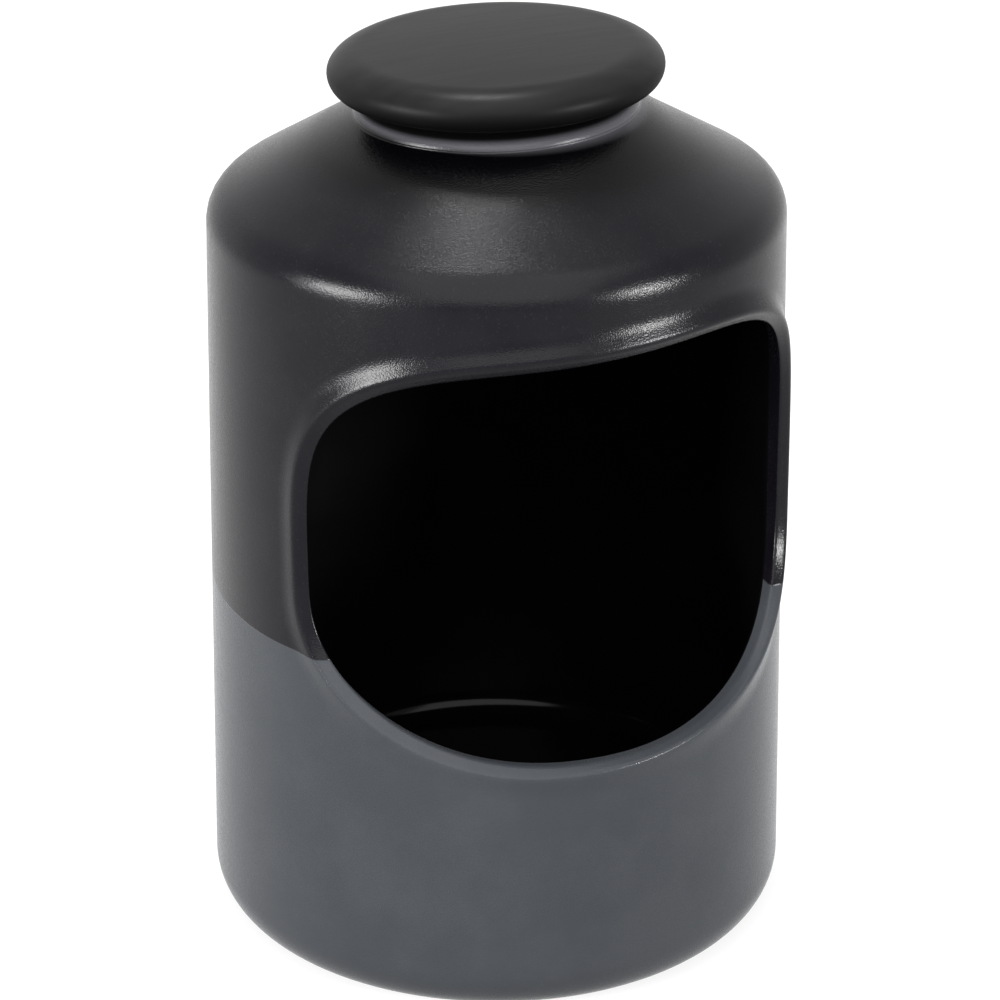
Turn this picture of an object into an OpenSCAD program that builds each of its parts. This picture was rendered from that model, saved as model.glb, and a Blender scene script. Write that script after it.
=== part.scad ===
// Salt pig: a stoneware pot with a wide scooping mouth in its front wall and a turned wooden lid in its neck.
// The pot stands on Z = 0 about the Z axis, and its mouth faces -Y. Millimetres.

/* [Pot] */
// Outside diameter of the wall just under the shoulder
pot_d = 100; // [80:1:120]
// How much wider the wall is at the foot than under the shoulder, across the whole pot
pot_flare = 3.2; // [0:0.2:4]
// Height of the side wall, from the table to where the shoulder starts to turn in
wall_h = 131; // [120:1:150]
// Thickness of the fired wall
wall = 3.2; // [2.6:0.1:4.5]
// Radius of the turn from the side wall into the shoulder
shoulder_round = 7; // [5:0.5:12]
// Slope of the shoulder above the horizontal, in degrees
shoulder_slope = 30.4; // [24:0.1:34]
// Slope of the shoulder's inner face, which thickens the pot towards the neck, in degrees
inner_slope = 25; // [20:0.5:27]

/* [Foot and floor] */
// Radius of the turn from the side wall under to the foot
foot_round = 9; // [5:0.5:11]
// Width of the flat ring that the pot stands on
foot_ring_w = 4; // [2.5:0.5:6]
// Depth of the recess inside the foot ring
foot_recess = 2.5; // [1:0.5:4]
// Thickness of the floor above the recess
floor_t = 6.1; // [3.5:0.1:8]
// Radius of the turn from the floor up to the inner wall
floor_round = 6; // [3:0.5:16]

/* [Mouth] */
// Width of the mouth, straight across from edge to edge
mouth_w = 87.4; // [66:0.2:90]
// Height of the mouth's lowest point above the table
mouth_low = 48.6; // [40:0.2:56]
// Height at which the mouth is widest
mouth_wide_h = 78; // [70:1:90]
// Height of the mouth's top edge
mouth_top = 121.4; // [112:0.2:124]
// How square the two upper corners are: 2 is an ellipse, and more is squarer
top_squareness = 4.4; // [2.2:0.1:5]
// How full the lower curve is: 2 is an ellipse, and more is fuller
bottom_squareness = 2.5; // [2:0.1:4]
// How far the hand-cut top edge climbs towards +X, in degrees
mouth_lean = 3.2; // [0:0.1:4]

/* [Lip] */
// How far the lip's crest stands proud of the wall at the top corners
lip_proud = 1.5; // [0.6:0.1:3.5]
// Distance from the mouth's edge to the lip's crest
lip_crest_d = 2.4; // [2:0.1:4]
// Distance from the mouth's edge to where the lip has run out into the wall
lip_run_out = 6.6; // [5.4:0.1:10]
// Width of the bevel that leads from the mouth's edge up towards the crest
bevel_w = 1.9; // [1:0.1:1.9]
// Depth of the bevel from the crest down to the mouth's edge
bevel_deep = 1.7; // [0.6:0.1:2.2]

/* [Neck] */
// Outside diameter of the neck
neck_d = 47; // [40:0.5:54]
// Inside diameter of the neck
neck_bore_d = 39.4; // [32:0.2:46]
// How far the neck's rim stands above the top of the shoulder
neck_rise = 3; // [2:0.1:8]
// Radius of the hollow turn from the shoulder up into the neck
neck_cove = 3; // [1.5:0.5:4]
// Radius of the rim's rounded edges
rim_round = 1; // [0.4:0.1:1.4]

/* [Lid] */
// Diameter of the lid's disc
lid_d = 57.6; // [48:0.2:70]
// Radius of the disc's round edge, which is half the edge's thickness
lid_edge_round = 2.8; // [2:0.1:4]
// How much the top of the disc swells above its edge
lid_crown = 0.9; // [0.3:0.1:2.5]
// Gap between the plug and the neck's bore, on each side
plug_gap = 1; // [0.6:0.1:1.6]
// Length of the plug under the disc
plug_l = 11; // [9:0.5:16]
// Size of the bevel round the plug's end
plug_bevel = 1; // [0.3:0.1:1.5]

/* [Seal ring] */
// Height of the ring and of its groove
seal_h = 6; // [4:0.5:7]
// Distance from the disc down to the groove
seal_drop = 1.2; // [0.8:0.1:2]
// Depth of the groove, which is the thickness of the ring between its ribs
seal_t = 1.2; // [0.8:0.1:2]
// Gap between the ribs and the neck's bore, on each side
seal_gap = 0.3; // [0.15:0.05:0.5]
// Gap that lets the ring be stretched into its groove
seal_seat_gap = 0.05; // [0.02:0.01:0.1]
// Number of ribs round the ring
seal_ribs = 2; // [1:1:3]

/* [Hidden] */
$fn = 144;
// Overrun of every cut past the face it cuts through
over = 1;

pot_r = pot_d / 2;
base_r = pot_r + pot_flare / 2;
neck_r = neck_d / 2;
bore_r = neck_bore_d / 2;
foot_r = base_r - foot_round;
floor_z = foot_recess + floor_t;
inner_base_r = base_r - wall;
inner_round = shoulder_round - wall;
turn_x = pot_r - shoulder_round;
lid_r = lid_d / 2;
plug_r = bore_r - plug_gap;
groove_r = plug_r - seal_t;

// Stations round the lip, and steps across its front face
lip_stations = 72;
lip_steps = 6;
// Height of the crest at the mouth's lowest point, as a share of its height at the top
lip_low_share = 0.3;
// How much of the ramp from the wall up to the crest is taken by the soft turn at either end
ramp_end_share = 0.25;
// Where the bevel's cut ends, as a share of the bevel: a little past the crest, just above the lip
bevel_end_share = 1.12;
bevel_end = bevel_w * bevel_end_share;
// How far inside the mouth the bevel's cut starts: past the lip's own inner face
bevel_start = -2 * over;
// How far the lip's outer border stands above the wall, so that it meets it in a clean line
lip_border = 0.06;
// Depth in the wall to which the lip is rooted, as a share of the wall
lip_root_share = 0.7;

// Radius of the outside of the pot at a height, up the wall and into the shoulder's turn
function wall_r(z) = z < wall_h
    ? pot_r + (base_r - pot_r) * (wall_h - z) / (wall_h - foot_round)
    : turn_x + sqrt(max(0, pow(shoulder_round, 2) - pow(z - wall_h, 2)));

// Point on a cone that leaves a rounded turn at a slope, at a distance from the axis
function turn_end(r, slope) = [turn_x + r * sin(slope), wall_h + r * cos(slope)];
function cone_z(r, slope, x) = turn_end(r, slope)[1] + (turn_end(r, slope)[0] - x) * tan(slope);

// Heights of the shoulder where it meets the neck, of the neck's rim and of the top of the seal's groove
neck_foot = cone_z(shoulder_round, shoulder_slope, neck_r);
neck_h = neck_foot + neck_rise;
groove_top = neck_h - seal_drop;

// The mouth's edge seen from the front, at an angle round its centre
function squareness(a) = sin(a) > 0 ? top_squareness : bottom_squareness;
function reach(a, p) = pow(pow(abs(cos(a)), p) + pow(abs(sin(a)), p), -1 / p);
function half_h(a) = sin(a) > 0 ? mouth_top - mouth_wide_h : mouth_wide_h - mouth_low;
function mouth_point(a) = let (
    k = reach(a, squareness(a)),
    x = mouth_w / 2 * k * cos(a),
    rise = max(0, k * sin(a))
) [x, mouth_wide_h + half_h(a) * k * sin(a) + x * tan(mouth_lean) * rise];

// The same edge rolled out flat from the wall, and the direction straight away from it
function rolled(p) = [wall_r(p[1]) * asin(p[0] / wall_r(p[1])) * PI / 180, p[1]];
function away(a) = let (t = rolled(mouth_point(a + 1)) - rolled(mouth_point(a - 1))) [t[1], -t[0]] / norm(t);

// Point of the lip at an angle round the mouth, a distance from the edge and a height above the wall
function lip_point(a, d, h) = let (
    p = rolled(mouth_point(a)) + d * away(a),
    turn = p[0] / wall_r(p[1]) * 180 / PI,
    r = wall_r(p[1]) + h
) [r * sin(turn), -r * cos(turn), p[1]];

// Height of the crest: it rises evenly from the mouth's lowest point to its top corners
function crest_h(a) = let (s = (mouth_point(a)[1] - mouth_low) / (mouth_top - mouth_low))
    lip_proud * (lip_low_share + (1 - lip_low_share) * s);

// Height of the ramp, which is straight with soft ends, as a share, and of the lip at a distance from the edge
function ramp(t, q) = (t < q ? t * t / (2 * q) : t > 1 - q ? 1 - q - pow(1 - t, 2) / (2 * q) : t - q / 2) / (1 - q);
function ramp_h(a, d) = lip_border
    + (crest_h(a) - lip_border) * ramp((lip_run_out - d) / (lip_run_out - lip_crest_d), ramp_end_share);

// One section across the lip: out of the opening, over the crest, down the ramp, and back through the wall
function lip_section(a) = let (root = -wall * lip_root_share, run = lip_run_out - lip_crest_d) concat(
    [lip_point(a, -over, root), lip_point(a, -over, crest_h(a))],
    [for (i = [0 : lip_steps]) let (d = lip_crest_d + run * i / lip_steps) lip_point(a, d, ramp_h(a, d))],
    [lip_point(a, lip_run_out, root)]
);

// Height of the bevel's face at a distance from the edge, and a section across what is cut away above it
function bevel_h(a, d) = crest_h(a) - bevel_deep * (1 - d / bevel_w);
function bevel_section(a) = [
    lip_point(a, bevel_start, bevel_h(a, bevel_start)),
    lip_point(a, bevel_end, bevel_h(a, bevel_end)),
    lip_point(a, bevel_end, crest_h(a) + over),
    lip_point(a, bevel_start, crest_h(a) + over)
];

// The outline of the outside of the pot, turned about the axis
module pot_outline() {
    turn = turn_end(shoulder_round, shoulder_slope);
    cove = [neck_r + neck_cove, neck_foot + neck_cove * (1 - sin(shoulder_slope)) / cos(shoulder_slope)];
    translate([0, foot_round]) polygon([[0, 0], [base_r, 0], [pot_r, wall_h - foot_round], [0, wall_h - foot_round]]);
    square([foot_r, foot_round]);
    translate([foot_r, foot_round]) circle(foot_round);
    translate([turn_x, wall_h]) circle(shoulder_round);
    polygon([[0, wall_h], [turn_x, wall_h], turn, [neck_r, neck_foot], [0, neck_foot]]);
    square([neck_r - rim_round, neck_h]);
    square([neck_r, neck_h - rim_round]);
    translate([neck_r - rim_round, neck_h - rim_round]) circle(rim_round);
    difference() {
        polygon([
            [neck_r, neck_foot],
            [neck_r, cove[1]],
            cove,
            cove - neck_cove * [sin(shoulder_slope), cos(shoulder_slope)]
        ]);
        translate(cove) circle(neck_cove);
    }
}

// The outline of the hollow inside, up to the neck's bore
module hollow_outline() {
    turn = turn_end(inner_round, inner_slope);
    floor_r = inner_base_r - floor_round;
    bore_foot = cone_z(inner_round, inner_slope, bore_r);
    polygon([
        [0, floor_z + floor_round],
        [inner_base_r, floor_z + floor_round],
        [pot_r - wall, wall_h],
        [0, wall_h]
    ]);
    translate([0, floor_z]) square([floor_r, floor_round + over]);
    translate([floor_r, floor_z + floor_round]) circle(floor_round);
    translate([turn_x, wall_h]) circle(inner_round);
    polygon([[0, wall_h - over], [turn_x, wall_h - over], [turn_x, wall_h], turn, [bore_r, bore_foot], [0, bore_foot]]);
}

// A closed band round the mouth, from one section at each station
module mouth_band(rings) {
    n = len(rings);
    m = len(rings[0]);
    polyhedron(
        points = [for (ring = rings) each ring],
        faces = [for (i = [0 : n - 1], j = [0 : m - 1])
            let (i2 = (i + 1) % n, j2 = (j + 1) % m)
            each [[i * m + j, i2 * m + j, i2 * m + j2], [i * m + j, i2 * m + j2, i * m + j2]]]
    );
}

// The raised lip round the mouth, thrown as one with the wall, and what the bevel cuts out of it
module lip() {
    mouth_band([for (i = [0 : lip_stations - 1]) lip_section(360 * i / lip_stations)]);
}
module bevel_cut() {
    mouth_band([for (i = [0 : lip_stations - 1]) bevel_section(360 * i / lip_stations)]);
}

// The mouth is cut straight back through the front wall
module mouth_cut() {
    reach_y = base_r + lip_proud + over;
    rotate([90, 0, 0]) linear_extrude(reach_y)
        polygon([for (i = [0 : lip_stations - 1]) mouth_point(360 * i / lip_stations)]);
}

module pot_body() {
    color("#3b3a3e") difference() {
        union() {
            rotate_extrude() intersection() {
                pot_outline();
                square([base_r + over, neck_h + over]);
            }
            lip();
        }
        rotate_extrude() intersection() {
            hollow_outline();
            square([base_r, neck_h]);
        }
        translate([0, 0, wall_h]) cylinder(r = bore_r, h = neck_h);
        translate([0, 0, -over]) cylinder(r = foot_r - foot_ring_w, h = foot_recess + over);
        mouth_cut();
        bevel_cut();
    }
}

// The disc: a round edge, a flat underside that sits on the neck's rim, and a slightly swelling top
module disc_outline() {
    edge = [lid_r - lid_edge_round, neck_h + lid_edge_round];
    rise = lid_edge_round + lid_crown;
    swell_r = (pow(edge[0], 2) + pow(rise, 2) - pow(lid_edge_round, 2)) / (2 * lid_crown);
    lean = atan2(edge[0], swell_r - rise);
    top_edge = edge + lid_edge_round * [sin(lean), cos(lean)];
    translate(edge) circle(lid_edge_round);
    translate([0, neck_h]) square([edge[0], lid_edge_round]);
    polygon([[0, edge[1]], edge, top_edge, [0, top_edge[1]]]);
    intersection() {
        translate([0, edge[1] + rise - swell_r]) circle(swell_r, $fn = 720);
        translate([0, top_edge[1]]) square([top_edge[0], rise]);
    }
}

module lid() {
    color("#2f3130") difference() {
        union() {
            rotate_extrude() intersection() {
                disc_outline();
                translate([0, neck_h]) square([lid_r + over, lid_r]);
            }
            translate([0, 0, neck_h - plug_l + plug_bevel]) cylinder(r = plug_r, h = plug_l - plug_bevel);
            translate([0, 0, neck_h - plug_l]) cylinder(r1 = plug_r - plug_bevel, r2 = plug_r, h = plug_bevel);
        }
        translate([0, 0, groove_top - seal_h]) difference() {
            cylinder(r = plug_r + over, h = seal_h);
            translate([0, 0, -over]) cylinder(r = groove_r, h = seal_h + 2 * over);
        }
    }
}

// The ring fills its groove, and its ribs reach out towards the neck's bore
module seal_ring() {
    rib_r = bore_r - seal_gap - plug_r;
    color("#1d1d1f") rotate_extrude() {
        translate([groove_r + seal_seat_gap, groove_top - seal_h + seal_seat_gap])
            square([seal_t - seal_seat_gap, seal_h - 2 * seal_seat_gap]);
        for (i = [1 : seal_ribs])
            translate([plug_r, groove_top - seal_h * i / (seal_ribs + 1)]) circle(rib_r);
    }
}

pot_body();
lid();
seal_ring();
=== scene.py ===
from math import cos, degrees, pi, radians, sin, tan

import bmesh
import bpy
import numpy as np
from mathutils import Matrix, Vector


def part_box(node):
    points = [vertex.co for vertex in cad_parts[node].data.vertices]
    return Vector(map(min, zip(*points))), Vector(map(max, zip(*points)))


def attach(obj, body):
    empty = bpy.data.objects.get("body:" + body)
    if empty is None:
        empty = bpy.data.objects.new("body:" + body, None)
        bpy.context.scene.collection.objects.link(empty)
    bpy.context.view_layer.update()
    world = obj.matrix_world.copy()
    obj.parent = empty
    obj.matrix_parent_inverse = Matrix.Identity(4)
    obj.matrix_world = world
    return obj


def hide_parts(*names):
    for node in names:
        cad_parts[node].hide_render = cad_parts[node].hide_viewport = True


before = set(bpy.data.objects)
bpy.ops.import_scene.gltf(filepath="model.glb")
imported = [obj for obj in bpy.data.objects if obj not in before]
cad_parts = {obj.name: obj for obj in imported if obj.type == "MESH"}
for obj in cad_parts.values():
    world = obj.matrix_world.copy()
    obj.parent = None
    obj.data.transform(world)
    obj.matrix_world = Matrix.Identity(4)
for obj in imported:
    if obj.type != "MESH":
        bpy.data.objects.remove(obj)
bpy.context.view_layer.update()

# Camera
# A long lens looks down on the pot from the left of its mouth, so that the mouth is turned to the right.
# The pot's axis falls a little left of the middle of the picture, which the small sideways shift allows for.
PICTURE_PX = 1000
FOCAL_PX = 3955
POT_AXIS_PX = 496.4
SENSOR_MM = 36
MOUTH_TURN = radians(21)
LOOK_DOWN = radians(24.18)
CAMERA_DISTANCE = 0.7042
AIM_HEIGHT = 0.0763

camera_data = bpy.data.cameras.new("camera")
camera_data.sensor_width = SENSOR_MM
camera_data.lens = FOCAL_PX / PICTURE_PX * SENSOR_MM
camera_data.shift_x = (PICTURE_PX / 2 - POT_AXIS_PX) / PICTURE_PX
camera = bpy.data.objects.new("camera", camera_data)
aim = Vector((0, 0, AIM_HEIGHT))
back = Vector((-sin(MOUTH_TURN) * cos(LOOK_DOWN), -cos(MOUTH_TURN) * cos(LOOK_DOWN), sin(LOOK_DOWN)))
camera.location = aim + CAMERA_DISTANCE * back
camera.rotation_euler = (-back).to_track_quat("-Z", "Y").to_euler()
bpy.context.scene.collection.objects.link(camera)
bpy.context.scene.camera = camera
bpy.context.scene.view_settings.view_transform = "Standard"


# Floor, white surroundings and soft boxes
# A pale sheet runs under the pot and away behind it, and a white room stands round it.
# Soft boxes light it: a small one above and behind, one at each side, and a large, dim one high in front.
class Wire:
    """One output of a node. Sums of wires and numbers add Math nodes to the tree."""

    def __init__(self, tree, socket):
        self.tree, self.socket = tree, socket

    def math(self, operation, *others):
        return self.tree.add("ShaderNodeMath", {"operation": operation}, [self, *others])

    def __add__(self, other):
        return self.math("ADD", other)

    __radd__ = __add__

    def __mul__(self, other):
        return self.math("MULTIPLY", other)

    __rmul__ = __mul__

    def __sub__(self, other):
        return self.math("SUBTRACT", other)

    def __rsub__(self, other):
        return (self * -1.0) + other

    def __truediv__(self, other):
        return self.math("DIVIDE", other)

    def __pow__(self, other):
        return self.math("POWER", other)

    def clamped(self, low, high):
        """0 below low, 1 above high, and a straight line between them."""
        names = {"Value": self, "From Min": low, "From Max": high}
        return self.tree.add("ShaderNodeMapRange", {"clamp": True}, names)

    def eased(self, low, high):
        """As clamped, with soft ends."""
        names = {"Value": self, "From Min": low, "From Max": high}
        return self.tree.add("ShaderNodeMapRange", {"interpolation_type": "SMOOTHSTEP"}, names)


class Tree:
    """A node tree that is written as expressions."""

    def __init__(self, nodes_of):
        self.nodes, self.links = nodes_of.nodes, nodes_of.links

    def add(self, kind, settings=None, sockets=(), output=0):
        """Adds a node: its settings first, then the values or wires of its sockets, by name or in order."""
        node = self.nodes.new(kind)
        for name, value in (settings or {}).items():
            setattr(node, name, value)
        pairs = sockets.items() if isinstance(sockets, dict) else enumerate(sockets)
        for key, value in pairs:
            if isinstance(value, Wire):
                self.links.new(value.socket, node.inputs[key])
            else:
                node.inputs[key].default_value = value
        return Wire(self, node.outputs[output]) if node.outputs else None

    def mixed(self, factor, a, b):
        """Colour a where the factor is 0, and b where it is 1. Sockets 0, 6 and 7 are the colour mix's."""
        return self.add("ShaderNodeMix", {"data_type": "RGBA"}, {0: factor, 6: a, 7: b}, output=2)

    def noise(self, where, scale, detail=2.0, roughness=0.5):
        """Noise between 0 and 1, with scale in cells to the metre."""
        names = {"Vector": where, "Scale": scale, "Detail": detail, "Roughness": roughness}
        return self.add("ShaderNodeTexNoise", {}, names)

    def bumped(self, height, distance, strength=1.0, under=None):
        """The surface's normal on a height between 0 and 1, where 1 stands distance metres higher."""
        names = {"Height": height, "Distance": distance, "Strength": strength}
        if under is not None:
            names["Normal"] = under
        return self.add("ShaderNodeBump", {}, names)


def material(name):
    """An empty material and its tree."""
    made = bpy.data.materials.new(name)
    made.use_nodes = True
    made.node_tree.nodes.clear()
    return made, Tree(made.node_tree)


def finish_material(tree, shader):
    tree.add("ShaderNodeOutputMaterial", {}, {"Surface": shader})


def seen_directly(tree):
    """1 for what the camera sees itself or in a gloss or glass, and 0 for light that falls on things."""
    sees = [tree.add("ShaderNodeLightPath", output=kind)
            for kind in ("Is Camera Ray", "Is Glossy Ray", "Is Transmission Ray")]
    return sees[0].math("MAXIMUM", sees[1]).math("MAXIMUM", sees[2])


def rgb(r, g, b):
    return (r, g, b, 1.0)


ROOM_LIGHT = 0.08
world = bpy.data.worlds.new("white_room")
bpy.context.scene.world = world
world.use_nodes = True
world.node_tree.nodes.clear()
room = Tree(world.node_tree)
room_strength = seen_directly(room) * (1.0 - ROOM_LIGHT) + ROOM_LIGHT
backdrop = room.add("ShaderNodeBackground", {}, {"Color": rgb(1, 1, 1), "Strength": room_strength})
room.add("ShaderNodeOutputWorld", {}, {"Surface": backdrop})

FLOOR_SIZE = 6.0
FLOOR_COLOUR = rgb(0.26, 0.26, 0.26)
SHADED_NEAR_LIFT = 0.76
FAR_LIFT = 0.88
LIFT_FROM, LIFT_TO = 0.05, 0.17
paper, tree = material("white_sheet")
sheet = tree.add("ShaderNodeBsdfDiffuse", {}, {"Color": FLOOR_COLOUR})
place = tree.add("ShaderNodeTexCoord", output="Object")
away = tree.add("ShaderNodeVectorMath", {"operation": "LENGTH"}, [place], output="Value")
# The sheet's glow is weaker close to the pot, a painted shade round its foot that fades out further away
strength = away.eased(LIFT_FROM, LIFT_TO) * (FAR_LIFT - SHADED_NEAR_LIFT) + SHADED_NEAR_LIFT
lift = tree.add("ShaderNodeEmission", {}, {"Color": rgb(1, 1, 1), "Strength": strength})
lifted = tree.add("ShaderNodeAddShader", {}, [sheet, lift])
finish_material(tree, tree.add("ShaderNodeMixShader", {}, [seen_directly(tree), sheet, lifted]))

half = FLOOR_SIZE / 2
floor_mesh = bpy.data.meshes.new("floor")
floor_corners = [(-half, -half, 0), (half, -half, 0), (half, half, 0), (-half, half, 0)]
floor_mesh.from_pydata(floor_corners, [], [(0, 1, 2, 3)])
floor_mesh.materials.append(paper)
floor = bpy.data.objects.new("floor", floor_mesh)
bpy.context.scene.collection.objects.link(floor)

LAMP_AIM_HEIGHT = 0.11


def soft_box(name, turn, height, distance, width, depth, watts):
    """A soft box that points at the pot. Turn is in degrees to the right of the camera, seen from above."""
    data = bpy.data.lights.new(name, "AREA")
    data.shape = "RECTANGLE"
    data.size, data.size_y, data.energy = width, depth, watts
    lamp = bpy.data.objects.new(name, data)
    way = radians(turn) - MOUTH_TURN
    out = Vector((sin(way) * cos(radians(height)), -cos(way) * cos(radians(height)), sin(radians(height))))
    lamp.location = Vector((0, 0, LAMP_AIM_HEIGHT)) + distance * out
    lamp.rotation_euler = out.to_track_quat("Z", "Y").to_euler()
    bpy.context.scene.collection.objects.link(lamp)


soft_box("box_above", turn=-165, height=71, distance=0.85, width=0.18, depth=0.16, watts=4.2)
soft_box("box_left", turn=-60, height=7, distance=0.90, width=0.38, depth=0.28, watts=16.5)
soft_box("box_right", turn=57, height=7, distance=0.90, width=0.20, depth=0.18, watts=12.0)
soft_box("box_front", turn=0, height=54, distance=0.95, width=1.20, depth=1.60, watts=16.5)


# Pot body
# One fired stoneware piece: a slip-cast wall with a sloped shoulder, a neck and a foot ring, and a mouth
# whose edge was turned outwards while the clay was soft. It is dipped in a charcoal glaze above and a cool
# grey glaze below, is gloss black inside, and stands on a foot ring that is wiped bare.
pot_low, pot_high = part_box("pot_body")
BASE_R = (pot_high[0] - pot_low[0]) / 2
NECK_TOP = pot_high[2]
WALL_TOP_R = 0.050
WALL_TOP = 0.131
WALL = 0.0032
SHOULDER_ROUND = 0.007
SHOULDER_SLOPE = radians(30.4)
INNER_SLOPE = radians(25)
FOOT_ROUND = 0.009
FOOT_RING = 0.004
FOOT_RECESS = 0.0025
FOOT_EDGE = 0.0006
FLOOR_TOP = 0.0094
FLOOR_ROUND = 0.0045

# The rim is rounder than the solid's, and its top stays this far below the solid's top
RIM_DROP = 0.0015
NECK_R = 0.0246
NECK_BORE_R = 0.0197
NECK_COVE = 0.0004
RIM_ROUND = 0.0021
INNER_RIM_ROUND = 0.0010

# The mouth's edge seen from the front. A squareness of 2 is round, and the lean lifts its top right
MOUTH_HALF_WIDTH = 0.044
MOUTH_WIDEST = 0.078
MOUTH_TOP = 0.1214
MOUTH_LOW = 0.0485
TOP_LEFT_SQUARENESS, TOP_RIGHT_SQUARENESS = 4.25, 4.15
LOW_LEFT_SQUARENESS, LOW_RIGHT_SQUARENESS = 2.56, 2.38
MOUTH_LEAN = tan(radians(2.8))

# The lip was pulled further out on the right: each pair is the size at the left and at the right of the mouth
LIP_PROUD = (0.00100, 0.00145)
LIP_RUN_OUT = (0.0067, 0.0062)
BEVEL_WIDE = (0.0020, 0.0016)
LIP_RIGHT_POWER = 3

# Shares of the lip's height and of the bevel's width that are left at the mouth's lowest point
LIP_LOW_SHARE = 0.60
BEVEL_LOW_SHARE = 0.8

# The bevel is narrowest at the lower right, at this turn from the mouth's right end
PINCH_TURN = radians(-62)
BEVEL_PINCH = 0.0010
PINCH_POWER = 6

# Where the crest's turn starts past the bevel, how deep the edge lies behind the wall's face, and its round
CREST_SHIFT = 0.0004
EDGE_SUNK_LOW, EDGE_SUNK_TOP = 0.0012, 0.0003
EDGE_ROUND = 0.0006

# Shares of the ramp, the bevel and the throat that are rounded at their ends
RAMP_LOW_SHARE = 0.6
RAMP_TOP_SHARE = 0.15
CREST_TURN_SHARE = 0.35
EDGE_TURN_SHARE = 0.25
THROAT_ROUND_SHARE = 0.25

# Quads along the top or bottom border of the rolled-out wall, up its sides, and across each stretch
AROUND = 144
UP_THE_SEAM = 80
ACROSS_WALL = 30
ACROSS_LIP = 30
ACROSS_EDGE = 8
ACROSS_THROAT = 6
STATIONS = 2 * (AROUND + UP_THE_SEAM)

# Steps in which the length of the mouth's edge is measured
FINE_STEPS = 20000

# The rolled-out wall takes in this much of the shoulder, and its rings crowd towards the lip by this power
SHOULDER_ON_WALL = 0.019
CROWDING_POWER = 1.4

# Points closer than this are one point
WELD = 1e-6


def wall_r(z):
    """Radius of the outside of the side wall at a height."""
    return WALL_TOP_R + (BASE_R - WALL_TOP_R) * (WALL_TOP - z) / (WALL_TOP - FOOT_ROUND)


def outside(climb):
    """Radius, height and outward direction where the outer face has climbed so far: wall, turn, then cone."""
    climb = np.asarray(climb, float)
    turn_x = WALL_TOP_R - SHOULDER_ROUND
    turn = np.clip((climb - WALL_TOP) / SHOULDER_ROUND, 0, pi / 2 - SHOULDER_SLOPE)
    cone = np.maximum(climb - WALL_TOP - SHOULDER_ROUND * (pi / 2 - SHOULDER_SLOPE), 0)
    on_wall = climb < WALL_TOP
    r = np.where(on_wall, wall_r(climb), turn_x + SHOULDER_ROUND * np.cos(turn) - cone * cos(SHOULDER_SLOPE))
    z = np.where(on_wall, climb, WALL_TOP + SHOULDER_ROUND * np.sin(turn) + cone * sin(SHOULDER_SLOPE))
    return r, z, np.cos(turn), np.sin(turn)


def on_outside(along, climb, proud):
    """Points on the outer face, a distance along the wall from its front and so far proud of it."""
    r, z, out, up = outside(climb)
    angle = along / WALL_TOP_R
    radius = r + proud * out
    return np.stack([radius * np.sin(angle), -radius * np.cos(angle), z + proud * up], axis=-1)


def mouth_edge(angle):
    """The mouth's edge seen from the front, as a superellipse half above and half below its widest line."""
    c, s = np.cos(angle), np.sin(angle)
    top_power = np.where(c > 0, TOP_RIGHT_SQUARENESS, TOP_LEFT_SQUARENESS)
    low_power = np.where(c > 0, LOW_RIGHT_SQUARENESS, LOW_LEFT_SQUARENESS)
    power = np.where(s > 0, top_power, low_power)
    height = np.where(s > 0, MOUTH_TOP - MOUTH_WIDEST, MOUTH_WIDEST - MOUTH_LOW)
    reach = (np.abs(c) ** power + np.abs(s) ** power) ** (-1 / power)
    x = MOUTH_HALF_WIDTH * reach * c
    return x, MOUTH_WIDEST + height * reach * s + x * MOUTH_LEAN * np.maximum(0, reach * s)


def mouth_stations():
    """Turns of even stations round the edge, from a little below its right end and up the right side."""
    fine = np.linspace(0, 2 * pi, FINE_STEPS + 1)
    x, z = mouth_edge(fine)
    along = WALL_TOP_R * np.arcsin(x / wall_r(z))
    step = np.hypot(np.diff(along), np.diff(z))
    length = np.concatenate([[0], np.cumsum(step)])
    start = -UP_THE_SEAM / 2 / STATIONS
    wanted = ((start + np.arange(STATIONS) / STATIONS) % 1.0) * length[-1]
    return np.interp(wanted, length, fine)


angles = mouth_stations()
edge_x, edge_z = mouth_edge(angles)
edge_along = WALL_TOP_R * np.arcsin(edge_x / wall_r(edge_z))
run_along = np.roll(edge_along, -1) - np.roll(edge_along, 1)
run_up = np.roll(edge_z, -1) - np.roll(edge_z, 1)
run = np.hypot(run_along, run_up)
away_along, away_up = run_up / run, -run_along / run
height_share = np.clip((edge_z - MOUTH_LOW) / (MOUTH_TOP - MOUTH_LOW), 0, 1)
side_share = (edge_x / MOUTH_HALF_WIDTH + 1) / 2


def across_mouth(pair, power=1):
    """A size at every station, which changes from the mouth's left to its right, by a power of the way across."""
    return pair[0] + (pair[1] - pair[0]) * side_share ** power


ridge = across_mouth(LIP_PROUD, LIP_RIGHT_POWER) * (LIP_LOW_SHARE + (1 - LIP_LOW_SHARE) * height_share)
bevel_wide = across_mouth(BEVEL_WIDE) * (BEVEL_LOW_SHARE + (1 - BEVEL_LOW_SHARE) * height_share)
bevel_wide -= BEVEL_PINCH * np.clip(np.cos(angles - PINCH_TURN), 0, 1) ** PINCH_POWER
run_out = across_mouth(LIP_RUN_OUT)
crest_d = bevel_wide + CREST_SHIFT
sunk = EDGE_SUNK_LOW + (EDGE_SUNK_TOP - EDGE_SUNK_LOW) * height_share


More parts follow.
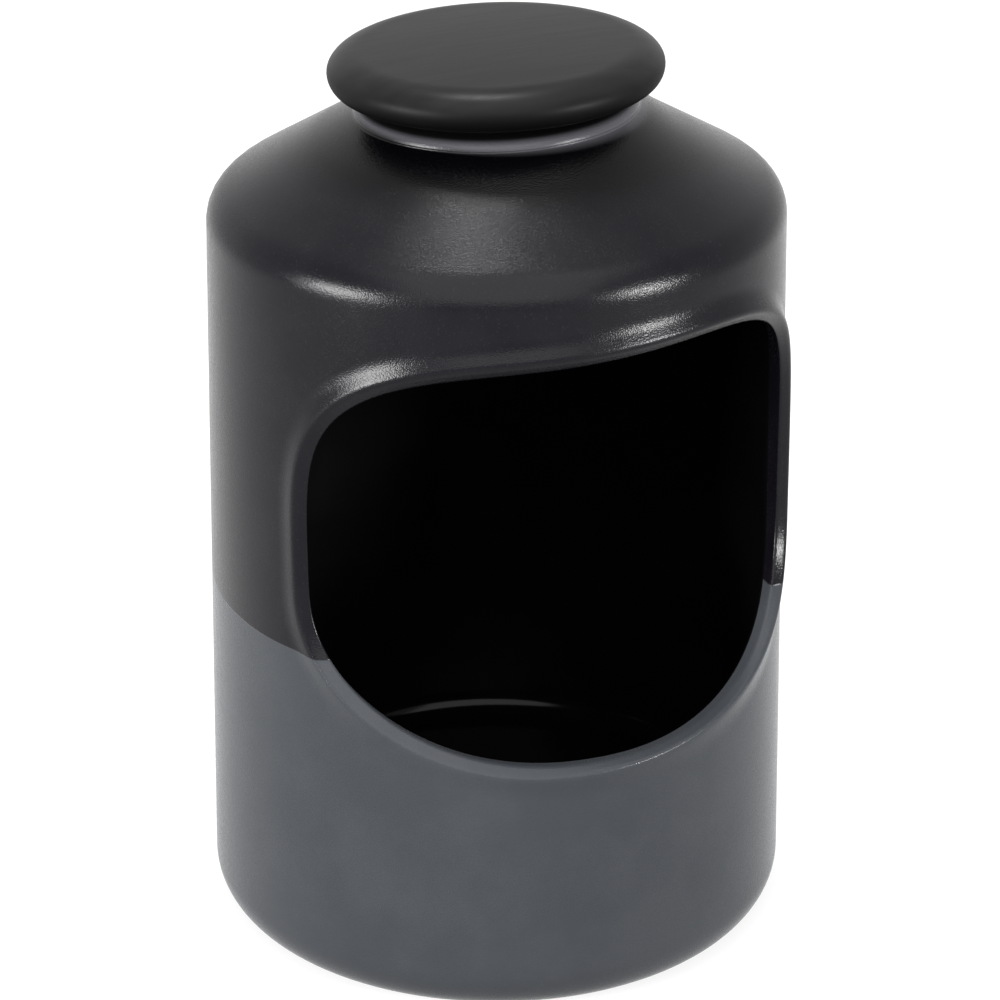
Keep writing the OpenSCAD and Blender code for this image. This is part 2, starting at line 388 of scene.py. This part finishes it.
def lip_ramp(d):
    """Share of the lip's height at a distance from the mouth's edge: a straight ramp with softened ends."""
    t = np.clip((run_out - d) / (run_out - crest_d), 0, 1)
    low, middle = t ** 2 / (2 * RAMP_LOW_SHARE), t - RAMP_LOW_SHARE / 2
    whole = 1 - (RAMP_LOW_SHARE + RAMP_TOP_SHARE) / 2
    high = whole - (1 - t) ** 2 / (2 * RAMP_TOP_SHARE)
    return np.where(t < RAMP_LOW_SHARE, low, np.where(t > 1 - RAMP_TOP_SHARE, high, middle)) / whole


def border_ring(top, bottom):
    """The rolled-out wall's border, station by station: up the right seam, over the top, down and back."""
    seam = pi * WALL_TOP_R
    up = np.linspace(bottom, top, UP_THE_SEAM, endpoint=False)
    over = np.linspace(seam, -seam, AROUND, endpoint=False)
    along = np.concatenate([np.full(UP_THE_SEAM, seam), over, np.full(UP_THE_SEAM, -seam), -over])
    climb = np.concatenate([up, np.full(AROUND, top), top + bottom - up, np.full(AROUND, bottom)])
    return along, climb


# Outer face, from the rolled-out wall's border in to the lip's rounded edge
GRID_TOP = WALL_TOP + SHOULDER_ON_WALL
border_along, border_climb = border_ring(GRID_TOP, FOOT_ROUND)
rings = []
lip_end_along = edge_along + run_out * away_along
lip_end_climb = edge_z + run_out * away_up
for share in np.linspace(1, 0, ACROSS_WALL, endpoint=False) ** CROWDING_POWER:
    along = lip_end_along + share * (border_along - lip_end_along)
    climb = lip_end_climb + share * (border_climb - lip_end_climb)
    rings.append(on_outside(along, climb, 0))
for share in np.linspace(1, 0, ACROSS_LIP):
    d = crest_d + (run_out - crest_d) * share
    rings.append(on_outside(edge_along + d * away_along, edge_z + d * away_up, ridge * lip_ramp(d)))


def turned_corner(start, middle, end, steps=ACROSS_EDGE):
    """Rings of a soft turn from start to end, round the sharp corner at middle."""
    shares = np.linspace(0, 1, steps + 1)[1:]
    return [(1 - t) ** 2 * start + 2 * t * (1 - t) * middle + t ** 2 * end for t in shares]


# A bevel leads from the crest down to the edge, where the throat starts, which runs straight back
crest = on_outside(edge_along + bevel_wide * away_along, edge_z + bevel_wide * away_up, ridge)
corner = on_outside(edge_along, edge_z, -sunk)
back_way = np.array([0.0, 1.0, 0.0])
inner_r = wall_r(edge_z) - WALL
depth = -np.sqrt(inner_r ** 2 - corner[:, 0] ** 2) - corner[:, 1]
front_end = corner + EDGE_ROUND * back_way
bevel_start = crest + CREST_TURN_SHARE * (corner - crest)
bevel_end = corner + EDGE_TURN_SHARE * (crest - corner)
rings += turned_corner(rings[-1], crest, bevel_start)
rings.append((bevel_start + bevel_end) / 2)
rings.append(bevel_end)
rings += turned_corner(bevel_end, corner, front_end)
inner_edge = corner + depth[:, None] * back_way
inner_round = THROAT_ROUND_SHARE * depth
throat_end = inner_edge - inner_round[:, None] * back_way
for share in np.linspace(0, 1, ACROSS_THROAT + 1)[1:]:
    rings.append(front_end + share * (throat_end - front_end))
GLAZE_CHANGE = len(rings) - 1


# Inner face, from the throat's rounded end out to the border of the rolled-out inner wall
def on_inside(along, z):
    """Points on the inner face of the side wall."""
    radius = wall_r(z) - WALL
    angle = along / WALL_TOP_R
    return np.stack([radius * np.sin(angle), -radius * np.cos(angle), z], axis=-1)


inner_along = WALL_TOP_R * np.arcsin(corner[:, 0] / inner_r)
inside_low = FLOOR_TOP + FLOOR_ROUND
inner_border_along, inner_border_z = border_ring(WALL_TOP, inside_low)
start_along = inner_along + inner_round * away_along
start_z = edge_z + inner_round * away_up
inner_start = on_inside(start_along, start_z)
rings += turned_corner(throat_end, inner_edge, inner_start)
for share in np.linspace(0, 1, ACROSS_WALL + 1)[1:] ** CROWDING_POWER:
    rings.append(on_inside(start_along + share * (inner_border_along - start_along),
                           start_z + share * (inner_border_z - start_z)))


# What is round about the pot's axis: the rest of the shoulder and the neck, the foot, and the floor
def arc(centre_r, centre_z, radius, start, end, steps=8):
    """Points of an arc of a turned outline, with angles in degrees from straight out."""
    turn = np.radians(np.linspace(start, end, steps + 1))
    return [(centre_r + radius * cos(t), centre_z + radius * sin(t)) for t in turn]


def line(a, b, steps):
    """Points of a straight stretch of a turned outline, without its first."""
    return [(a[0] + (b[0] - a[0]) * k / steps, a[1] + (b[1] - a[1]) * k / steps) for k in range(1, steps + 1)]


top_r, top_z = (float(value) for value in outside(GRID_TOP)[:2])
slope, inner_slope = degrees(SHOULDER_SLOPE), degrees(INNER_SLOPE)
cone_at_neck = top_z + (top_r - NECK_R) * tan(SHOULDER_SLOPE)
cove_r = NECK_R + NECK_COVE
cove_z = cone_at_neck + NECK_COVE * (1 - sin(SHOULDER_SLOPE)) / cos(SHOULDER_SLOPE)
cove = arc(cove_r, cove_z, NECK_COVE, 270 - slope, 180)
rim_top = NECK_TOP - RIM_DROP
rim = arc(NECK_R - RIM_ROUND, rim_top - RIM_ROUND, RIM_ROUND, 0, 90)
rim += arc(NECK_BORE_R + INNER_RIM_ROUND, rim_top - INNER_RIM_ROUND, INNER_RIM_ROUND, 90, 180)
turn_x = WALL_TOP_R - SHOULDER_ROUND
inner_turn = SHOULDER_ROUND - WALL
inner_arc = arc(turn_x, WALL_TOP, inner_turn, 90 - inner_slope, 0)
bore_end = inner_arc[0][1] + (inner_arc[0][0] - NECK_BORE_R) * tan(INNER_SLOPE)
neck_outline = [(top_r, top_z)] + line((top_r, top_z), cove[0], steps=10) + cove[1:] + rim
neck_outline += line(rim[-1], (NECK_BORE_R, bore_end), steps=6)
bore_ends = len(neck_outline) - 1
neck_outline += line((NECK_BORE_R, bore_end), inner_arc[0], steps=12) + inner_arc[1:]

ring_out, ring_in = BASE_R - FOOT_ROUND, BASE_R - FOOT_ROUND - FOOT_RING
foot_outline = arc(ring_out, FOOT_ROUND, FOOT_ROUND, 0, -90, steps=14)
foot_bare = len(foot_outline) - 1
foot_outline += line(foot_outline[-1], (ring_in + FOOT_EDGE, 0), steps=3)
foot_outline += arc(ring_in + FOOT_EDGE, FOOT_EDGE, FOOT_EDGE, -90, -180, steps=4)[1:]
foot_ends = len(foot_outline) - 1
foot_outline += arc(ring_in - FOOT_EDGE, FOOT_RECESS - FOOT_EDGE, FOOT_EDGE, 0, 90, steps=4)
foot_outline += line(foot_outline[-1], (0, FOOT_RECESS), steps=12)

floor_r = wall_r(FLOOR_TOP + FLOOR_ROUND) - WALL
floor_outline = arc(floor_r - FLOOR_ROUND, inside_low, FLOOR_ROUND, 0, -90, steps=16)
floor_outline += line(floor_outline[-1], (0, FLOOR_TOP), steps=14)

OUTER_GLAZE, INNER_GLAZE, BARE_CLAY = 0, 1, 2
pot = bmesh.new()


def add_grid(rows, finish_of):
    """Joins rows of points, each a closed ring, with quads. finish_of gives the finish between two rows."""
    grid = [[pot.verts.new(point) for point in row] for row in rows]
    for k in range(len(grid) - 1):
        for i in range(len(grid[k])):
            j = (i + 1) % len(grid[k])
            face = pot.faces.new((grid[k][i], grid[k][j], grid[k + 1][j], grid[k + 1][i]))
            face.material_index = finish_of(k)
            face.smooth = True


def turned(outline):
    """Rings of points for an outline of radius and height, at the same places as the border's own."""
    angle = np.linspace(pi, -pi, AROUND, endpoint=False)
    return [np.stack([r * np.sin(angle), -r * np.cos(angle), np.full(AROUND, z)], axis=-1)
            for r, z in outline]


add_grid(rings, lambda k: OUTER_GLAZE if k < GLAZE_CHANGE else INNER_GLAZE)
add_grid(turned(neck_outline), lambda k: OUTER_GLAZE if k < bore_ends else INNER_GLAZE)
add_grid(turned(foot_outline), lambda k: BARE_CLAY if foot_bare <= k < foot_ends else OUTER_GLAZE)
add_grid(turned(floor_outline), lambda k: INNER_GLAZE)
bmesh.ops.remove_doubles(pot, verts=pot.verts, dist=WELD)
bmesh.ops.recalc_face_normals(pot, faces=pot.faces)

# Firing has drawn the shoulder, and more so the rim, down on the camera's left and up on its right
WARP_RISE = 0.00068
WARP_FROM = 0.095
RIM_LEAN = tan(radians(1.4))
RIM_LEAN_FROM, RIM_LEAN_TO = 0.1460, 0.1500
warp_way = Vector((cos(MOUTH_TURN), -sin(MOUTH_TURN), 0))
for vert in pot.verts:
    share = min(max((vert.co.z - WARP_FROM) / (WALL_TOP - WARP_FROM), 0), 1)
    share = share * share * (3 - 2 * share)
    across = vert.co.dot(warp_way)
    rim_share = min(max((vert.co.z - RIM_LEAN_FROM) / (RIM_LEAN_TO - RIM_LEAN_FROM), 0), 1)
    vert.co.z += WARP_RISE * share * across / WALL_TOP_R + RIM_LEAN * rim_share * across

pot_mesh = bpy.data.meshes.new("stoneware_pot")
pot.to_mesh(pot_mesh)
pot.free()

# The charcoal glaze laps over the grey one along a slightly wavy line. A painted highlight lies as a pale band on
# the rim's outer roll, and painted shade blackens the rim's flat top and where the shoulder meets the rim. Its
# shine is grainy.
GLAZE_LINE = 0.0652
LINE_WAVE = 0.0005
LINE_BLUR = 0.00012
CHARCOAL = rgb(0.0030, 0.0026, 0.0040)
CHARCOAL_WARM = rgb(0.0044, 0.0040, 0.0054)
GREY = rgb(0.0285, 0.0311, 0.0352)
GREY_PALE = rgb(0.0331, 0.0356, 0.0397)
SPECK = rgb(0.028, 0.028, 0.032)
SHADE_BELOW_RIM = (0.1412, 0.1458)
RIM_BAND_HEIGHTS = (0.1494, 0.1508)
RIM_TOP_R, RIM_SIDE_R = 0.0232, 0.0243
RIM_PAINTED_HIGHLIGHT = rgb(0.050, 0.050, 0.056)
PAINTED_SHADE_BLACK = rgb(0.0006, 0.0005, 0.0008)
SPECK_SHOWS = 0.2
LAP_HEIGHT, PORE_DEPTH, GRAIN_HEIGHT = 0.00012, 0.000012, 0.00004
GLAZE_ROUGH, GRAIN_ROUGH, CLOUD_ROUGH, RIM_TOP_ROUGH = 0.23, 0.20, 0.04, 0.4

# How fine each pattern of the glaze is, in cells to the metre
WAVES, CLOUDS, PORES, SPECKS, GRAIN = 38.0, 55.0, 900.0, 2600.0, 4400.0
glaze, tree = material("two_tone_glaze")
where = tree.add("ShaderNodeTexCoord", output="Object")
height = tree.add("ShaderNodeSeparateXYZ", {}, [where], output="Z")
wave = tree.noise(where, WAVES, 1.0) - 0.5
above = (height + wave * (2 * LINE_WAVE)).clamped(GLAZE_LINE - LINE_BLUR, GLAZE_LINE + LINE_BLUR)
cloud = tree.noise(where, CLOUDS, 4.0, 0.6).eased(0.35, 0.68)
fine = tree.noise(where, GRAIN, 0.0, 0.5)
pores = tree.noise(where, PORES, 3.0, 0.55)
dark_coat = tree.mixed(cloud, CHARCOAL, CHARCOAL_WARM)
pale_coat = tree.mixed(cloud, GREY, GREY_PALE)
specks = tree.noise(where, SPECKS, 1.0).eased(0.66, 0.74) * above
coat = tree.mixed(above, pale_coat, dark_coat)
coat = tree.mixed(specks * SPECK_SHOWS, coat, SPECK)
east, north = (tree.add("ShaderNodeSeparateXYZ", {}, [where], output=name) for name in "XY")
from_axis = (east * east + north * north).math("SQRT")
rim_side = from_axis.eased(RIM_TOP_R, RIM_SIDE_R)
on_rim = height.eased(*RIM_BAND_HEIGHTS)
# Painted shade: the glaze turns near black where the shoulder meets the rim, in the lid's shade
coat = tree.mixed(height.eased(*SHADE_BELOW_RIM), coat, PAINTED_SHADE_BLACK)
# On the rim a pale band, a painted highlight, covers its outer roll, and painted shade covers its flat top
coat = tree.mixed(on_rim, coat, tree.mixed(rim_side, PAINTED_SHADE_BLACK, RIM_PAINTED_HIGHLIGHT))
lap = tree.bumped(above, LAP_HEIGHT, 0.6)
skin = tree.bumped(pores, PORE_DEPTH, 0.5, under=lap)
grain = tree.bumped(fine, GRAIN_HEIGHT, 0.8, under=skin)
roughness = (fine - 0.5) * GRAIN_ROUGH + (cloud - 0.5) * CLOUD_ROUGH
roughness = roughness + (1 - rim_side) * on_rim * RIM_TOP_ROUGH + GLAZE_ROUGH
glazed = tree.add("ShaderNodeBsdfPrincipled", {}, {
    "Base Color": coat, "Roughness": roughness, "Normal": grain, "Specular IOR Level": 0.125})
finish_material(tree, glazed)

# The glaze inside pooled thicker, so it is glossier and blacker, with brown where it ran thin
INSIDE_BLACK = rgb(0.0020, 0.0020, 0.0022)
INSIDE_BROWN = rgb(0.0032, 0.0030, 0.0030)
INNER_ROUGH, RIPPLE_ROUGH = 0.14, 0.06
RIPPLE_HEIGHT = 0.00004
RIPPLES, POOLS = 120.0, 40.0
gloss, tree = material("inner_gloss_black")
where = tree.add("ShaderNodeTexCoord", output="Object")
ripple = tree.noise(where, RIPPLES, 3.0)
pool = tree.noise(where, POOLS, 2.0).eased(0.4, 0.65)
inner_colour = tree.mixed(pool, INSIDE_BLACK, INSIDE_BROWN)
roughness = (ripple - 0.5) * RIPPLE_ROUGH + INNER_ROUGH
inner_coat = tree.add("ShaderNodeBsdfPrincipled", {}, {
    "Base Color": inner_colour, "Roughness": roughness, "Normal": tree.bumped(ripple, RIPPLE_HEIGHT, 0.4),
    "Specular IOR Level": 0.08})
finish_material(tree, inner_coat)

CLAY = rgb(0.34, 0.29, 0.24)
CLAY_DARK = rgb(0.22, 0.19, 0.16)
CLAY_ROUGH, GRIT_ROUGH = 0.8, 0.1
GRIT_HEIGHT = 0.00008
GRITS = 1400.0
clay, tree = material("bare_stoneware")
where = tree.add("ShaderNodeTexCoord", output="Object")
grit = tree.noise(where, GRITS, 4.0, 0.65)
clay_colour = tree.mixed(grit.eased(0.35, 0.7), CLAY, CLAY_DARK)
roughness = grit * GRIT_ROUGH + CLAY_ROUGH
bare = tree.add("ShaderNodeBsdfPrincipled", {}, {
    "Base Color": clay_colour, "Roughness": roughness, "Normal": tree.bumped(grit, GRIT_HEIGHT, 0.6)})
finish_material(tree, bare)

for finish in (glaze, gloss, clay):
    pot_mesh.materials.append(finish)
pot_object = bpy.data.objects.new("stoneware_pot", pot_mesh)
bpy.context.scene.collection.objects.link(pot_object)
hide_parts("pot_body")
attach(pot_object, "pot")


# Lid
# A beech disc with a soft, lens-like edge and a short plug under it, turned in one piece on a lathe.
# It is stained black and rubbed with satin lacquer. Its seal holds it a little askew, clear of the rim.
lid_low, lid_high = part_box("lid")
LID_R = (lid_high[0] - lid_low[0]) / 2
PLUG_LENGTH = NECK_TOP - lid_low[2]
PLUG_R = 0.0187
PLUG_BEVEL = 0.0010
GROOVE_DEPTH = 0.0012
GROOVE_HEIGHT = 0.0060
GROOVE_DROP = 0.0012
LID_UNDER = 0.0029
LID_UNDER_REACH = 0.0024
LID_OVER = 0.0038
LID_OVER_REACH = 0.0061
LID_CROWN = 0.0005
LID_TILT = radians(1.75)
LID_SEAT = 0.0007
AROUND_LID = 192


def node_inputs(tree_data, sizes):
    """Gives a geometry tree named inputs for its sizes, and returns them as wires."""
    for name, value in sizes.items():
        socket = tree_data.interface.new_socket(name, in_out="INPUT", socket_type="NodeSocketFloat")
        socket.default_value = value
    tree_data.interface.new_socket("Geometry", in_out="OUTPUT", socket_type="NodeSocketGeometry")
    shape = Tree(tree_data)
    group_in = shape.nodes.new("NodeGroupInput")
    return shape, {name: Wire(shape, group_in.outputs[name]) for name in sizes}


def lathe_piece(name, sizes, segments, finish, around=AROUND_LID):
    """A turned piece, whose outline is a chain of segments from its foot on the axis or in the groove.

    segments holds the number of steps on each segment, and a function that gives the outline's radius and
    height from the size wires and one ramp a segment, which climbs from 0 to 1 as the outline passes it.
    """
    tree_data = bpy.data.node_groups.new(name, "GeometryNodeTree")
    shape, size = node_inputs(tree_data, sizes)
    steps, outline = segments
    rows = sum(steps)
    grid = shape.add("GeometryNodeMeshGrid", {}, {"Size X": 1.0, "Size Y": 1.0,
                                                 "Vertices X": around + 1, "Vertices Y": rows + 1})
    number = shape.add("GeometryNodeInputIndex")
    column = (number / (rows + 1)).math("FLOOR")
    row = number - column * (rows + 1)
    ramps, passed = [], 0
    for count in steps:
        ramps.append(row.clamped(passed, passed + count))
        passed += count
    radius, rise = outline(size, ramps)
    angle = column * (2 * pi / around)
    east, north = radius * angle.math("COSINE"), radius * angle.math("SINE")
    place = shape.add("ShaderNodeCombineXYZ", {}, [east, north, rise])
    placed = shape.add("GeometryNodeSetPosition", {}, {"Geometry": grid, "Position": place})
    merged = shape.add("GeometryNodeMergeByDistance", {}, {"Geometry": placed, "Distance": WELD})
    smooth = shape.add("GeometryNodeSetShadeSmooth", {}, {"Geometry": merged})
    real = shape.add("GeometryNodeRealizeInstances", {}, {"Geometry": smooth})
    dressed = shape.add("GeometryNodeSetMaterial", {}, {"Geometry": real, "Material": finish})
    shape.add("NodeGroupOutput", {}, [dressed])
    blank = bpy.data.objects.new(name + "_blank", bpy.data.meshes.new(name + "_blank"))
    bpy.context.scene.collection.objects.link(blank)
    modifier = blank.modifiers.new("lathe", "NODES")
    modifier.node_group = tree_data
    for item in tree_data.interface.items_tree:
        if item.in_out == "INPUT":
            modifier[item.identifier] = sizes[item.name]
    ready = blank.evaluated_get(bpy.context.evaluated_depsgraph_get())
    mesh = bpy.data.meshes.new_from_object(ready)
    mesh.name = name
    bpy.data.objects.remove(blank)
    shell = bmesh.new()
    shell.from_mesh(mesh)
    bmesh.ops.recalc_face_normals(shell, faces=shell.faces)
    shell.to_mesh(mesh)
    shell.free()
    piece = bpy.data.objects.new(name, mesh)
    bpy.context.scene.collection.objects.link(piece)
    return piece


def sit_askew(piece):
    """Tips a piece of the lid up on the camera's right, about the neck's top, and lifts it a little."""
    seat = Vector((0, 0, NECK_TOP))
    tip = Matrix.Rotation(-LID_TILT, 4, Vector((sin(MOUTH_TURN), cos(MOUTH_TURN), 0)))
    lift = Matrix.Translation(seat + Vector((0, 0, LID_SEAT)))
    piece.data.transform(lift @ tip @ Matrix.Translation(-seat))


# Painted shade: the disc's underside is near black, up to a level that tips with the disc
UNDERSIDE_PAINTED_SHADE = rgb(0.0006, 0.0006, 0.0006)
UNDER_FROM, UNDER_TO = 0.1563, 0.1598
STAIN = rgb(0.0078, 0.0078, 0.0080)
STAIN_THIN = rgb(0.0103, 0.0103, 0.0103)
FLECK = rgb(0.0110, 0.0110, 0.0110)
FLECK_SHOWS = 0.3
LACQUER_ROUGH, STREAK_ROUGH, UNDER_ROUGH = 0.28, 0.12, 0.2
STREAK_DEPTH, DUST_HEIGHT = 0.00002, 0.000008

# How fine the wood's patterns are across the grain, in cells to the metre, and the share of it along the grain
STREAKS, BANDS, FLECKS, DUST = 1500.0, 260.0, 3800.0, 6000.0
ALONG_SHARE = 0.06
wood, tree = material("black_stained_beech")
where = tree.add("ShaderNodeTexCoord", output="Object")
along_grain = tree.add("ShaderNodeMapping", {}, {"Vector": where, "Rotation": (0, 0, MOUTH_TURN),
                                               "Scale": (ALONG_SHARE, 1.0, 1.0)})
streaks = tree.noise(along_grain, STREAKS, 4.0, 0.6)
bands = tree.noise(along_grain, BANDS, 3.0, 0.55)
flecks = tree.noise(along_grain, FLECKS, 2.0, 0.6).eased(0.58, 0.72)
dust = tree.noise(where, DUST, 1.0)
stain = tree.mixed(bands.eased(0.35, 0.65), STAIN, STAIN_THIN)
stain = tree.mixed(flecks * FLECK_SHOWS, stain, FLECK)
east, north, up = (tree.add("ShaderNodeSeparateXYZ", {}, [where], output=name) for name in "XYZ")
level = up - (east * cos(MOUTH_TURN) - north * sin(MOUTH_TURN)) * tan(LID_TILT)
upper_side = level.eased(UNDER_FROM, UNDER_TO)
stain = tree.mixed(upper_side, UNDERSIDE_PAINTED_SHADE, stain)
open_grain = tree.bumped(streaks, STREAK_DEPTH, 0.35)
lacquer_skin = tree.bumped(dust, DUST_HEIGHT, 0.4, under=open_grain)
roughness = streaks * STREAK_ROUGH + LACQUER_ROUGH + (1 - upper_side) * UNDER_ROUGH
lacquered = tree.add("ShaderNodeBsdfPrincipled", {}, {
    "Base Color": stain, "Roughness": roughness, "Normal": lacquer_skin, "Specular IOR Level": 0.055})
finish_material(tree, lacquered)

# Steps on each segment, in the order in which lid_outline names them
LID_STEPS = (14, 3, 6, 2, 6, 2, 3, 8, 10, 12, 22)


def lid_outline(size, ramp):
    """From the middle of the plug's end, up past the groove, along the disc's underside and over its top."""
    out, bevel, side_low, in_low, groove, in_top, side_top, under, lower, upper, crown = ramp
    bevel_in = size["Plug radius"] - size["Bevel"]
    quarter = pi / 2
    lower_turn, upper_turn = lower * quarter, upper * quarter
    seat_reach = size["Disc radius"] - size["Lower reach"] - size["Plug radius"]
    low_run = size["Plug length"] - size["Groove drop"] - size["Groove height"] - size["Bevel"]
    radius = out * bevel_in + bevel * size["Bevel"]
    radius = radius - in_low * size["Groove depth"] + in_top * size["Groove depth"]
    radius = radius + under * seat_reach + size["Lower reach"] * lower_turn.math("SINE")
    radius = radius - size["Upper reach"] * (1 - upper_turn.math("COSINE"))
    radius = radius - crown * (size["Disc radius"] - size["Upper reach"])
    rise = bevel * size["Bevel"] + side_low * low_run + groove * size["Groove height"]
    rise = rise + side_top * size["Groove drop"]
    rise = rise + size["Lower height"] * (1 - lower_turn.math("COSINE"))
    rise = rise + size["Upper height"] * upper_turn.math("SINE") + size["Crown"] * (1 - (1 - crown) ** 2)
    return radius, rise + size["Foot height"]


lid_sizes = {
    "Disc radius": LID_R, "Lower height": LID_UNDER, "Lower reach": LID_UNDER_REACH, "Upper height": LID_OVER,
    "Upper reach": LID_OVER_REACH, "Crown": LID_CROWN, "Plug radius": PLUG_R, "Plug length": PLUG_LENGTH,
    "Bevel": PLUG_BEVEL, "Groove depth": GROOVE_DEPTH, "Groove height": GROOVE_HEIGHT,
    "Groove drop": GROOVE_DROP, "Foot height": NECK_TOP - PLUG_LENGTH}
lid = lathe_piece("turned_lid", lid_sizes, (LID_STEPS, lid_outline), wood)
sit_askew(lid)
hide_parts("lid")
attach(lid, "lid")


# Seal ring
# A soft silicone ring with two ribs, stretched into the groove round the plug. The ribs close the gap to the
# neck's bore, here all but a hair of it, and keep the damp out of the salt.
RIB_REACH = 0.0007
RIB_COUNT = 2
RING_CLEAR = 0.00005
RUBBER_BLACK = rgb(0.005, 0.005, 0.0054)
RUBBER_BLOOM = rgb(0.008, 0.008, 0.0084)
RUBBER_ROUGH, BLOOM_ROUGH = 0.5, 0.15
BLOOM_HEIGHT = 0.00002
BLOOMS = 700.0
silicone, tree = material("dark_silicone")
where = tree.add("ShaderNodeTexCoord", output="Object")
bloom = tree.noise(where, BLOOMS, 3.0)
ring_colour = tree.mixed(bloom.eased(0.3, 0.7), RUBBER_BLACK, RUBBER_BLOOM)
roughness = bloom * BLOOM_ROUGH + RUBBER_ROUGH
rubbery = tree.add("ShaderNodeBsdfPrincipled", {}, {
    "Base Color": ring_colour, "Roughness": roughness, "Normal": tree.bumped(bloom, BLOOM_HEIGHT, 0.4),
    "Specular IOR Level": 0.05})
finish_material(tree, rubbery)

# Steps on each segment, in the order in which ring_outline names them
RING_STEPS = (2, 36, 2, 6)


def ring_outline(size, ramp):
    """From the groove's foot outwards, up over the ribs, back in to the groove, and down its wall."""
    out, up, back_in, down = ramp
    ribs = (up * (2 * pi * RIB_COUNT)).math("COSINE")
    rib = (1 - ribs) * (size["Rib reach"] / 2)
    radius = size["Groove radius"] + (out - back_in) * size["Thickness"] + rib
    rise = (up - down) * size["Height"] + size["Foot height"]
    return radius, rise


ring_sizes = {
    "Groove radius": PLUG_R - GROOVE_DEPTH + RING_CLEAR, "Thickness": GROOVE_DEPTH - RING_CLEAR,
    "Rib reach": RIB_REACH, "Height": GROOVE_HEIGHT - 2 * RING_CLEAR,
    "Foot height": NECK_TOP - GROOVE_DROP - GROOVE_HEIGHT + RING_CLEAR}
seal = lathe_piece("ribbed_seal", ring_sizes, (RING_STEPS, ring_outline), silicone)
sit_askew(seal)
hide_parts("seal_ring")
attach(seal, "lid")
